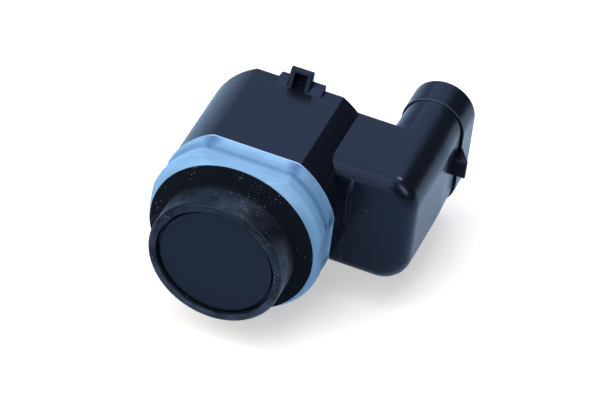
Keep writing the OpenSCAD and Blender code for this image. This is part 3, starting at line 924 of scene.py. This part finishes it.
@dataclass
class Housing:
    """The moulded housing: flatted body, elbow block, oblong socket, latch nub and latch catches."""

    radius: float = 13.3
    half_width: float = 12.7
    half_height: float = 11.45
    crease: float = 0.4
    back: float = extent("rear_cover")[1][1]
    edge: float = 0.3
    collar_back: float = extent("seal_collar")[1][1]
    front: float = extent("seal_collar")[0][1]
    step_edge: float = 0.1
    seat: float = 0.55
    corner_seat: float = 0.5
    wall: float = 1.6
    board_ledge: float = 0.9
    board_front: float = extent("circuit_board")[0][1]
    cover_front: float = extent("rear_cover")[0][1]
    cover_ledge: float = 0.8
    sleeve_radius: float = 9.85
    sleeve_back: float = extent("decoupling_ring")[1][1]
    plug_x: float = 18.4
    plug_radius: float = 4.75
    plug_arc_z: float = 4.65
    plug_wall: float = 1.2
    plug_floor: float = 26.0
    plug_mouth: float = extent("housing")[1][1]
    elbow_front: float = 12.4
    elbow_round: float = 2.4
    elbow_sink: float = 0.4
    flare: float = 1.6
    band_length: float = 4.9
    band_step: float = 0.12
    band_line: float = 0.2
    mouth_round: float = 0.25
    waist_inset: float = 0.26
    nub_top: float = extent("housing")[1][0]
    nub_from_mouth: float = 7.4
    nub_length: float = 3.2
    nub_tip: float = 0.5
    nub_width: float = 3.0
    nub_z: float = 0.6
    nub_edge: float = 0.18
    catch_x: float = 0.25
    catch_top: float = extent("housing")[1][2]
    catch_width: float = 3.5
    catch_length: float = 2.1
    catch_post: float = 0.75
    catch_bar: float = 0.4
    catch_wall: float = 0.3
    catch_edge: float = 0.2
    pocket_edge: float = 0.05
    pad_width: float = 7.4
    pad_rise: float = 0.95
    pad_length: float = 2.2
    pad_land: float = 0.3
    pad_slant: float = 0.55
    pad_edge: float = 0.15
    past: float = 1.0

    def rings(self, steps: list[tuple[float, float]]) -> Array:
        """Draws rings of the housing's outline.

        Args:
            steps: How far each ring is drawn in, and its distance along the axis.

        Returns:
            Grid of points: ring by turn by coordinate.
        """
        inset, along = np.array(steps).T
        rows = np.stack([self.radius - inset, self.half_width - inset, self.half_height - inset, along], -1)
        return flatted_rings(rows, self.crease)

    def spigot(self) -> tuple[float, float, float]:
        """Gives the radius, half width and half height of the step that the collar sits on."""
        radius = self.radius - self.seat - self.corner_seat
        return radius, self.half_width - self.seat, self.half_height - self.seat

    def body(self) -> Piece:
        """Builds the flatted body with its step for the collar and its rounded rear edge.

        Returns:
            The body as a closed shape, solid inside.
        """
        inset, run = quarter_round(self.edge)
        spigot = np.array([[*self.spigot(), at] for at in (self.front, self.collar_back)])
        outside = [
            (self.step_edge, self.collar_back),
            (0.0, self.collar_back + self.step_edge),
            (0.0, self.back - 2 * self.edge),
        ]
        rear = list(zip(inset[::-1], self.back - run[::-1]))
        grid = np.concatenate([flatted_rings(spigot, self.crease), self.rings(outside + rear)])
        return make_piece("housing_moulding", grid, closed=False)

    def spaces(self) -> Piece:
        """Builds the room inside: sleeve bore, front room, board room and the seat of the rear cover.

        Returns:
            The room as a closed shape, which is cut out of the body.
        """
        bore = self.sleeve_radius
        round_rows = np.array([
            [bore, bore + self.crease, bore + self.crease, self.front - self.past],
            [bore, bore + self.crease, bore + self.crease, self.sleeve_back],
        ])
        ledge = self.wall + self.board_ledge
        lip = self.wall - self.cover_ledge
        steps = [
            (ledge, self.sleeve_back),
            (ledge, self.board_front),
            (self.wall, self.board_front),
            (self.wall, self.cover_front),
            (lip, self.cover_front),
            (lip, self.back + self.past),
        ]
        grid = np.concatenate([flatted_rings(round_rows, self.crease), self.rings(steps)])
        return make_piece("housing_spaces", grid, closed=False)

    def elbow(self) -> Piece:
        """Builds the elbow block: its free outline is drawn in by a quarter circle towards the front.

        Returns:
            The elbow as a closed shape whose root lies inside the body.
        """
        inset, run = quarter_round(self.elbow_round)
        inset = np.append(inset, 0.0)[:, None]
        along = np.append(self.elbow_front + run, self.back)[:, None]
        half = self.plug_arc_z + self.plug_radius
        root = math.sqrt(self.radius ** 2 - half ** 2) - self.elbow_sink
        turn = np.linspace(math.pi / 2, -math.pi / 2, 2 * ARC_STEPS)
        bend = self.plug_radius - inset
        x = self.plug_x + bend * np.cos(turn)
        z = np.where(turn >= 0, self.plug_arc_z, -self.plug_arc_z) + bend * np.sin(turn)
        left = root + 0 * inset
        x = np.concatenate([left, x, left], axis=1)
        z = np.concatenate([half - inset, z, inset - half], axis=1)
        return make_piece("elbow", np.stack([x, along + 0 * x, z], -1), closed=False)

    def socket(self) -> Piece:
        """Builds the oblong socket as one cup: flared root, waist, parting line, band, mouth and bore.

        A ring is an oblong of two half circles. At the root, its side towards the body is moved out by the
        flare. At the waist, both long sides are moved in, which makes the half circles smaller and moves them
        apart.

        Returns:
            The socket as a closed shape whose root lies inside the elbow.
        """
        inset, run = quarter_round(self.mouth_round)
        line = self.plug_mouth - self.band_length
        dip, half = self.band_line, self.band_line / 2
        sweep = np.linspace(0, math.pi / 2, 2 * EDGE_STEPS)
        root = [(0.0, self.back - self.past, self.flare, 0.0)]
        flare = [
            (0.0, self.back + self.flare * (1 - math.cos(at)), self.flare * (1 - math.sin(at)), 0.0)
            for at in sweep
        ]
        waist = [
            (0.0, self.plug_mouth - self.nub_from_mouth, 0.0, self.waist_inset),
            (0.0, line - half, 0.0, self.waist_inset),
            (-dip / 2, line - half / 2, 0.0, self.waist_inset),
            (-dip / 2, line, 0.0, self.waist_inset),
        ]
        band = [(self.band_step - half / 2, line, 0.0, 0.0), (self.band_step, line + half / 2, 0.0, 0.0)]
        mouth = [(self.band_step - i, self.plug_mouth - r, 0.0, 0.0) for i, r in zip(inset[::-1], run[::-1])]
        inner = [(i - self.plug_wall, self.plug_mouth - r, 0.0, 0.0) for i, r in zip(inset, run)]
        bottom = [(-self.plug_wall, self.plug_floor, 0.0, 0.0)]
        rings = np.array(root + flare + waist + band + mouth + inner + bottom)
        grow, along, flared, narrow = rings.T[..., None]
        top = np.linspace(0, math.pi, 2 * ARC_STEPS)
        turn = np.concatenate([top, top + math.pi])
        side = np.repeat([1, -1], len(top)) * (self.plug_arc_z + narrow)
        radius = self.plug_radius + grow - narrow
        x = self.plug_x + radius * np.cos(turn) - flared * np.clip(-np.cos(turn), 0, 1)
        z = side + radius * np.sin(turn)
        return make_piece("socket", np.stack([x, along + 0 * x, z], -1), closed=False)

    def nub(self) -> Piece:
        """Builds the latch nub: a locking face towards the head and a ramp down to the band.

        Returns:
            The nub as a closed shape whose foot lies inside the socket's wall.
        """
        wall = self.plug_x + self.plug_radius
        foot = wall - self.plug_wall / 2
        face = self.plug_mouth - self.nub_from_mouth
        outline = np.array([
            [foot, face],
            [self.nub_top, face],
            [self.nub_top, face + self.nub_tip],
            [wall + self.band_step, face + self.nub_length],
            [foot, face + self.nub_length],
        ])
        half = self.nub_width / 2
        return rounded_bar("nub", outline, Way.ALONG_Z, self.nub_z - half, self.nub_z + half, self.nub_edge)

    def catch(self, side: int) -> Piece:
        """Builds one latch catch on its pad, with a pocket that is open to the front.

        Args:
            side: 1 for the catch on the top flat, -1 for the one on the bottom flat.

        Returns:
            The catch as a closed shape whose foot lies inside the wall.
        """
        root, flat, back = self.half_height - self.wall / 2, self.half_height, self.back
        pad = np.array([
            [back - self.pad_length, root],
            [back - self.pad_length, flat],
            [back - self.pad_land, flat + self.pad_rise],
            [back, flat + self.pad_rise],
            [back, root],
        ])
        hook = np.array([
            [back - self.catch_length, root],
            [back - self.catch_length, flat],
            [back - self.catch_post, self.catch_top],
            [back, self.catch_top],
            [back, root],
        ])
        half = self.catch_width / 2 - self.catch_post
        pocket = np.array([
            [back - self.catch_length - self.past, flat],
            [back - self.catch_length - self.past, self.catch_top - self.catch_bar],
            [back - self.catch_wall, self.catch_top - self.catch_bar],
            [back - self.catch_wall, flat],
        ])
        slant = self.pad_slant * np.clip((pad[:, 1] - flat) / self.pad_rise, 0, 1)
        bars = [
            rounded_bar(name, outline * (1, side), Way.ALONG_X, self.catch_x + low, self.catch_x + high, edge)
            for name, outline, low, high, edge in (
                ("catch", pad, slant - self.pad_width / 2, self.pad_width / 2, self.pad_edge),
                ("hook", hook, -self.catch_width / 2, self.catch_width / 2, self.catch_edge),
                ("pocket", pocket, -half, half, self.pocket_edge),
            )
        ]
        combine(bars[0], bars[1], Combine.ADD)
        combine(bars[0], bars[2], Combine.CUT)
        return bars[0]

    def build(self) -> Piece:
        """Joins the housing's forms, hollows it out and dresses it.

        Returns:
            The housing.
        """
        whole = self.body()
        for form in (self.elbow(), self.socket(), self.nub(), self.catch(1), self.catch(-1)):
            combine(whole, form, Combine.ADD)
        combine(whole, self.spaces(), Combine.CUT)
        finish_piece(whole, HOUSING_PLASTIC.material(), "housing")
        return whole


@dataclass
class RearCover:
    """The lid in the rear of the housing, with a sunk field inside a raised border."""

    edge: float = 0.85
    front: float = extent("rear_cover")[0][1]
    back: float = extent("rear_cover")[1][1]
    border: float = 1.8
    sink: float = 0.4
    draft: float = 0.2
    round: float = 0.15

    def build(self, housing: Housing, material: Material) -> Piece:
        """Builds the lid on the housing's outline.

        Args:
            housing: The housing that it closes.
            material: The plastic of the housing.

        Returns:
            The lid.
        """
        inset, run = quarter_round(self.round)
        rim = [(self.edge + i, self.back - r) for i, r in zip(inset[::-1], run[::-1])]
        field = self.edge + self.border
        sunk = (field + self.draft, self.back - self.sink)
        steps = [(self.edge, self.front), *rim, (field, self.back), sunk]
        lid = make_piece("rear_lid", housing.rings(steps), closed=False)
        finish_piece(lid, material, "rear_cover")
        return lid


@dataclass
class SealCollar:
    """The blue collar: front bevel, light front band, shallow valley and a rounded rear lip."""

    radius: float = 13.5
    half_width: float = extent("seal_collar")[1][0]
    half_height: float = extent("seal_collar")[1][2]
    front: float = extent("seal_collar")[0][1]
    back: float = extent("seal_collar")[1][1]
    front_radius: float = extent("decoupling_ring")[1][0]
    bevel: float = 1.4
    valley: float = 0.45
    valley_front: float = 1.8
    valley_rear: float = 0.85
    lip: float = 1.45
    lip_round: float = 0.3
    crease: float = 1.2
    corner_dip: float = 0.4
    corner_spread: float = 0.07
    steps: int = 72

    def build(self, housing: Housing) -> Piece:
        """Builds the collar from rings whose radius follows the bevel and whose flats follow the valley.

        The rear lip is pressed in at each corner, by a bell curve of the angle from that corner.

        Args:
            housing: The housing that it sits on.

        Returns:
            The collar.
        """
        along = np.linspace(self.front, self.back, self.steps)
        middle = self.back - self.lip - self.valley_rear
        half = np.where(along < middle, self.valley_front, self.valley_rear)
        reach = np.clip(np.abs(along - middle) / half, 0, 1)
        inset = self.valley * (0.5 + 0.5 * np.cos(math.pi * reach))
        over = np.clip(along - self.back + self.lip_round, 0, self.lip_round)
        inset += self.lip_round - np.sqrt(self.lip_round ** 2 - over ** 2)
        rise = np.clip((along - self.front) / self.bevel, 0, 1)
        radius = self.front_radius + (self.radius - self.front_radius) * rise - inset
        outer = np.stack([radius, self.half_width - inset, self.half_height - inset, along], -1)
        inner = np.array([[*housing.spigot(), at] for at in (self.back, self.front)])
        skin = flatted_rings(outer, self.crease)
        turn = np.arctan2(np.abs(skin[..., 2]), np.abs(skin[..., 0]))
        corners = np.array(
            [math.acos(self.half_width / self.radius), math.asin(self.half_height / self.radius)]
        )
        near = np.exp(-(((turn[..., None] - corners) / self.corner_spread) ** 2)).sum(-1)
        late = np.clip((along - middle) / (self.back - middle), 0, 1)[:, None]
        dip = self.corner_dip * near * np.sin(math.pi * late)
        skin[..., ::2] *= (1 - dip / np.hypot(skin[..., 0], skin[..., 2]))[..., None]
        grid = np.concatenate([skin, flatted_rings(inner, housing.crease)])
        collar = make_piece("collar_moulding", grid, closed=True)
        finish_piece(collar, COLLAR_SILICONE.material(), "seal_collar")
        return collar


@dataclass
class SensingHead:
    """The decoupling ring with its rim, neck and flange, and the membrane pot inside it."""

    pot_radius: float = 8.6
    gap: float = 0.4
    gap_depth: float = 0.7
    face_recess: float = 0.5
    neck_radius: float = 10.25
    rim_round: float = 0.5
    lip_round: float = 0.12
    root_round: float = 0.3
    flange_round: float = 0.08
    inner_round: float = 0.1
    front: float = extent("decoupling_ring")[0][1]
    flange_radius: float = extent("decoupling_ring")[1][0]
    flange_edge: float = 0.35
    flange_back: float = extent("seal_collar")[0][1]
    sleeve_radius: float = 9.85
    sleeve_back: float = extent("decoupling_ring")[1][1]
    bead: float = 0.6
    bead_front: float = 4.4
    bead_back: float = 5.6
    pot_back: float = extent("membrane_pot")[1][1]
    pot_edge: float = 0.2
    pot_bore: float = 7.5
    slot_floor: float = -4.5
    bore_floor: float = -1.1
    slot_half: float = 5.0
    slot_crease: float = 0.2
    past: float = 1.0

    def ring(self) -> Piece:
        """Builds the ring by carrying its profile round the axis.

        Returns:
            The ring.
        """
        bead = self.pot_radius + self.bead
        gap = self.pot_radius + self.gap
        floor = self.front + self.face_recess + self.gap_depth
        profile = rounded_path([
            (self.pot_radius, floor, 0.0),
            (gap, floor, self.inner_round),
            (gap, self.front, self.lip_round),
            (self.neck_radius, self.front, self.rim_round),
            (self.neck_radius, 0.0, self.root_round),
            (self.flange_radius, self.flange_back - self.flange_edge, self.lip_round),
            (self.flange_radius, self.flange_back, self.flange_round),
            (self.sleeve_radius, self.flange_back, 0.0),
            (self.sleeve_radius, self.sleeve_back, self.inner_round),
            (self.pot_radius, self.sleeve_back, self.inner_round),
            (self.pot_radius, self.bead_back, 0.0),
            (bead, self.bead_back, 0.0),
            (bead, self.bead_front, 0.0),
            (self.pot_radius, self.bead_front, 0.0),
        ])
        ring = make_piece("ring_moulding", revolved(profile), closed=True)
        finish_piece(ring, RING_SILICONE.material(), "decoupling_ring")
        return ring

    def pot(self) -> Piece:
        """Builds the pot: its outside and round bore are turned, and the beam slot is cut out.

        Returns:
            The pot.
        """
        bead = self.pot_radius + self.bead
        face = self.front + self.face_recess
        profile = rounded_path([
            (0.0, face, 0.0),
            (self.pot_radius, face, self.pot_edge),
            (self.pot_radius, self.bead_front, 0.0),
            (bead, self.bead_front, 0.0),
            (bead, self.bead_back, 0.0),
            (self.pot_radius, self.bead_back, 0.0),
            (self.pot_radius, self.pot_back, self.inner_round),
            (self.pot_bore, self.pot_back, self.inner_round),
            (self.pot_bore, self.bore_floor, 0.0),
            (0.0, self.bore_floor, 0.0),
        ])
        pot = make_piece("membrane_face", revolved(profile), closed=False)
        ends = (self.slot_floor, self.bore_floor + self.past)
        rows = np.array([[self.pot_bore, 2 * self.pot_bore, self.slot_half, at] for at in ends])
        slot = make_piece("beam_slot", flatted_rings(rows, self.slot_crease), closed=False)
        combine(pot, slot, Combine.CUT)
        finish_piece(pot, MEMBRANE_PAINT.material(), "membrane_pot")
        return pot


def direction(azimuth: float, elevation: float) -> Vector:
    """Gives the unit vector towards a place in the studio.

    Args:
        azimuth: Degrees from the front of the object towards its right.
        elevation: Degrees above the floor.

    Returns:
        The unit vector.
    """
    turn, rise = math.radians(azimuth), math.radians(elevation)
    return Vector((math.sin(turn) * math.cos(rise), -math.cos(turn) * math.cos(rise), math.sin(rise)))


@dataclass(frozen=True)
class Camera:
    """The photograph's camera, found by fitting the outlines: angles in degrees, places in millimetres."""

    azimuth: float = 16.475
    elevation: float = 40.432
    roll: float = 7.933
    lens: float = 295.03
    sensor: float = 36.0
    distance: float = 705.69
    aim_right: float = -7.345
    aim_down: float = 1.433
    clip: tuple[float, float] = (0.01, 20.0)

    def build(self, aim: Vector) -> None:
        """Places the camera.

        Args:
            aim: The point, in metres, whose place in the picture the two aim values give.
        """
        turn, roll = math.radians(self.azimuth), math.radians(self.roll)
        back = direction(self.azimuth, self.elevation)
        level = Vector((math.cos(turn), math.sin(turn), 0.0))
        upright = back.cross(level)
        right = level * math.cos(roll) + upright * math.sin(roll)
        up = upright * math.cos(roll) - level * math.sin(roll)
        place = aim + (back * self.distance - right * self.aim_right + up * self.aim_down) * MM
        data = bpy.data.cameras.new("camera")
        data.sensor_width = self.sensor
        data.lens = self.lens
        data.clip_start, data.clip_end = self.clip
        camera = bpy.data.objects.new("camera", data)
        turned = Matrix((right, up, back)).transposed().to_4x4()
        camera.matrix_world = Matrix.Translation(place) @ turned
        bpy.context.scene.collection.objects.link(camera)
        bpy.context.scene.camera = camera


@dataclass(frozen=True)
class Softbox:
    """A softbox that faces the object: angles in degrees, lengths in metres, and its brightness.

    One that only shines is seen in glossy surfaces and lights nothing else.
    """

    name: str
    azimuth: float
    elevation: float
    distance: float
    width: float
    height: float
    radiance: float
    colour: str
    only_shines: bool = False

    def build(self, aim: Vector) -> None:
        """Places the softbox and turns it to a point.

        Args:
            aim: The point that it faces.
        """
        data = bpy.data.lights.new(self.name, "AREA")
        data.shape = "RECTANGLE"
        data.size, data.size_y = self.width, self.height
        data.energy = self.radiance * math.pi * self.width * self.height
        data.color = linear(self.colour)[:3]
        lamp = bpy.data.objects.new(self.name, data)
        out = direction(self.azimuth, self.elevation)
        lamp.location = aim + out * self.distance
        lamp.rotation_euler = (-out).to_track_quat("-Z", "Y").to_euler()
        lamp.visible_camera = False
        lamp.visible_diffuse = not self.only_shines
        bpy.context.scene.collection.objects.link(lamp)


@dataclass(frozen=True)
class Studio:
    """White floor, a broad key light, softboxes and a dim surround."""

    floor_half: float = 4.0
    floor_colour: str = "#ffe8cf"
    floor_glow: float = 0.5
    glow_colour: str = "#ffffff"
    mirrored_colour: str = "#ccdcea"
    mirrored_glow: tuple[float, float] = (0.05, 0.68)
    mirrored_reach: float = 40.0
    background: str = "#ffffff"
    surround: str = "#c8d8ff"
    surround_light: float = 0.13
    key_colour: str = "#daebff"
    key_azimuth: float = -40.0
    key_elevation: float = 48.0
    key_strength: float = 2.95
    key_angle: float = 65.0
    softboxes: tuple[Softbox, ...] = (
        Softbox("softbox_back", -163.0, 42.0, 1.2, 0.8, 0.8, 2.0, "#b8d4ff"),
        Softbox("softbox_top", 180.0, 82.0, 1.2, 0.9, 0.9, 2.9, "#cce2ff"),
        Softbox("strip_right", 66.0, 42.0, 1.0, 0.34, 0.6, 9.5, "#e0e6ff", True),
        Softbox("strip_back_right", 157.0, 54.0, 1.0, 0.1, 0.12, 75.0, "#daebff", True),
        Softbox("backdrop_left", -138.0, 14.0, 1.2, 0.8, 0.56, 0.85, "#a8c6ff", True),
        Softbox("backdrop_front", -16.0, 6.0, 1.2, 0.9, 0.6, 2.6, "#daebff", True),
    )

    def build(self, low: Vector, aim: Vector) -> None:
        """Builds the floor under the object, the lights and the world.

        Args:
            low: Lowest corner of the object.
            aim: The point that the softboxes face.
        """
        self.floor(low.z)
        for softbox in self.softboxes:
            softbox.build(aim)
        self.key()
        self.world()

    def key(self) -> None:
        """Hangs the broad key light."""
        sun = bpy.data.lights.new("key_light", "SUN")
        sun.energy = self.key_strength
        sun.color = linear(self.key_colour)[:3]
        sun.angle = math.radians(self.key_angle)
        key = bpy.data.objects.new("key_light", sun)
        out = direction(self.key_azimuth, self.key_elevation)
        key.rotation_euler = (-out).to_track_quat("-Z", "Y").to_euler()
        bpy.context.scene.collection.objects.link(key)

    def floor(self, height: float) -> None:
        """Lays a plain white floor that keeps the object's shadow and looks a little overexposed.

        What the object mirrors of it is a cooler and greyer sheet, brighter on the right.

        Args:
            height: Where the object stands.
        """
        half = self.floor_half
        mesh = bpy.data.meshes.new("floor")
        corners = [(-half, -half, height), (half, -half, height), (half, half, height), (-half, half, height)]
        mesh.from_pydata(corners, [], [(0, 1, 2, 3)])
        floor = bpy.data.objects.new("floor", mesh)
        bpy.context.scene.collection.objects.link(floor)
        made = bpy.data.materials.new("white_sheet")
        made.use_nodes = True
        tree = made.node_tree
        rays = add_node(tree, "LightPath", {}, {})
        seen = rays.outputs["Is Camera Ray"]
        colours = [
            add_node(
                tree,
                "Mix",
                {"data_type": "RGBA"},
                {0: seen, 6: linear(self.mirrored_colour), 7: linear(colour)},
            ).outputs[2]
            for colour in (self.floor_colour, self.glow_colour)
        ]
        direct = add_node(tree, "Math", {"operation": "MULTIPLY"}, {0: seen, 1: self.floor_glow})
        place = add_node(tree, "TexCoord", {}, {}).outputs["Object"]
        axes = add_node(tree, "SeparateXYZ", {}, {0: place})
        mirrored = add_node(
            tree,
            "MapRange",
            {},
            {
                "Value": axes.outputs[0],
                "From Min": -self.mirrored_reach * MM,
                "From Max": self.mirrored_reach * MM,
                "To Min": self.mirrored_glow[0],
                "To Max": self.mirrored_glow[1],
            },
        )
        strength = add_node(
            tree,
            "Math",
            {"operation": "MULTIPLY_ADD"},
            {0: rays.outputs["Is Glossy Ray"], 1: mirrored, 2: direct},
        )
        diffuse = add_node(tree, "BsdfDiffuse", {}, {"Color": colours[0]})
        glow = add_node(tree, "Emission", {}, {"Color": colours[1], "Strength": strength})
        whole = add_node(tree, "AddShader", {}, {0: diffuse, 1: glow})
        tree.links.new(whole.outputs[0], tree.nodes["Material Output"].inputs["Surface"])
        mesh.materials.append(made)

    def world(self) -> None:
        """Makes the surround white to the eye and dim as a light."""
        world = bpy.data.worlds.new("surround")
        world.use_nodes = True
        tree = world.node_tree
        rays = add_node(tree, "LightPath", {}, {})
        seen = add_node(
            tree,
            "Math",
            {"operation": "MAXIMUM"},
            {0: rays.outputs["Is Camera Ray"], 1: rays.outputs["Is Transmission Ray"]},
        )
        strength = add_node(
            tree, "MapRange", {}, {"Value": seen, "To Min": self.surround_light, "To Max": 1.0}
        )
        colour = add_node(
            tree,
            "Mix",
            {"data_type": "RGBA"},
            {0: seen, 6: linear(self.surround), 7: linear(self.background)},
        )
        shown = tree.nodes["Background"]
        tree.links.new(colour.outputs[2], shown.inputs["Color"])
        tree.links.new(strength.outputs[0], shown.inputs["Strength"])
        bpy.context.scene.world = world


def dress_inner_pieces() -> None:
    """Gives each piece inside the housing its finish; their construction meshes stay as they are."""
    for node, finish in INNER_FINISHES.items():
        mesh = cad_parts[node].data
        mesh.materials.clear()
        mesh.materials.append(finish.material())
        LOG.info("%s: %s", node, finish.name)


def main() -> None:
    """Builds the pieces, the studio and the camera in order."""
    logging.basicConfig(level=logging.INFO, format="%(message)s")
    bpy.context.scene.view_settings.view_transform = "Standard"
    housing = Housing()
    moulding = housing.build()
    RearCover().build(housing, moulding.data.materials[0])
    SealCollar().build(housing)
    head = SensingHead()
    head.ring()
    head.pot()
    dress_inner_pieces()
    axis_point = Vector((0.0, housing.collar_back * MM, 0.0))
    Camera().build(axis_point)
    Studio().build(CAD_BOX[0], axis_point)


if __name__ == "__main__":
    main()
